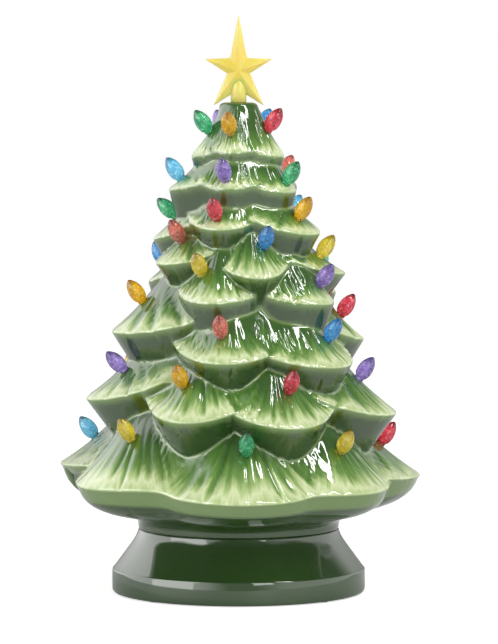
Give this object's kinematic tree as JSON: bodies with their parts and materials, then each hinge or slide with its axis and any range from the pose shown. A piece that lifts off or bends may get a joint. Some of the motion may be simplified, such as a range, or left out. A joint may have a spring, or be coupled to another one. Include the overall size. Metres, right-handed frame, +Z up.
{
  "type": "ceramic christmas tree",
  "caption": "Glazed ceramic christmas tree with coloured plastic bulbs and a star, lit by a mast of lamps on a round base that holds the batteries.",
  "frame": {"origin": "centre of the base's axis on the surface that the foot pads stand on", "axes": "+Z up along the tree's axis, -Y towards the front, which the star faces"},
  "size_m": [0.2232, 0.223, 0.3555],
  "materials": {
    "glazed_boughs": "glossy green glaze, paler towards the tips",
    "glazed_base": "glossy dark green glaze",
    "star_plastic": "translucent pale yellow",
    "bulb_green": "translucent",
    "bulb_amber": "translucent",
    "bulb_red": "translucent",
    "bulb_coral": "translucent",
    "bulb_sky": "translucent",
    "bulb_blue": "translucent",
    "bulb_purple": "translucent",
    "bulb_yellow": "translucent",
    "white_plastic": "matte white",
    "circuit_white": "white circuit strip",
    "circuit_green": "green circuit board",
    "lamp": "clear lamp lens",
    "black_plastic": "black",
    "ivory_plastic": "off-white",
    "steel": "plated",
    "wire_red": "insulated wire",
    "cell_jacket": "plain dark jacket",
    "clear_rubber": "clear bumper"
  },
  "bodies": {
    "base": {"base": "glazed_base", "light_platform": "white_plastic", "led_post": "white_plastic", "led_strips": "circuit_white", "leds": "lamp", "driver_board": "circuit_green", "board_parts": "black_plastic", "board_screws": "steel", "lead_wires": "wire_red", "bottom_cover": "ivory_plastic", "cells": "cell_jacket", "contact_plates": "steel", "contact_springs": "steel", "power_switch": "black_plastic", "cover_screws": "steel", "foot_pads": "clear_rubber"},
    "tree": {"tree_shell": "glazed_boughs", "bulbs_green": "bulb_green", "bulbs_amber": "bulb_amber", "bulbs_red": "bulb_red", "bulbs_coral": "bulb_coral", "bulbs_sky": "bulb_sky", "bulbs_blue": "bulb_blue", "bulbs_purple": "bulb_purple", "bulbs_yellow": "bulb_yellow"},
    "star": {"star": "star_plastic"},
    "door": {"battery_door": "ivory_plastic"},
    "switch": {"switch_slider": "black_plastic"}
  },
  "joints": [
    {"name": "tree_lift", "type": "slide", "parent": "base", "child": "tree", "axis": [0, 0, 1], "range_m": [0, 0.12]},
    {"name": "star_pull", "type": "slide", "parent": "tree", "child": "star", "axis": [0, 0, 1], "range_m": [0, 0.016]},
    {"name": "door_swing", "type": "hinge", "parent": "base", "child": "door", "pos_m": [0, -0.02215, 0.0029], "axis": [1, 0, 0], "range_deg": [-80, 0]},
    {"name": "switch_slide", "type": "slide", "parent": "base", "child": "switch", "axis": [1, 0, 0], "range_m": [0, 0.004]}
  ]
}
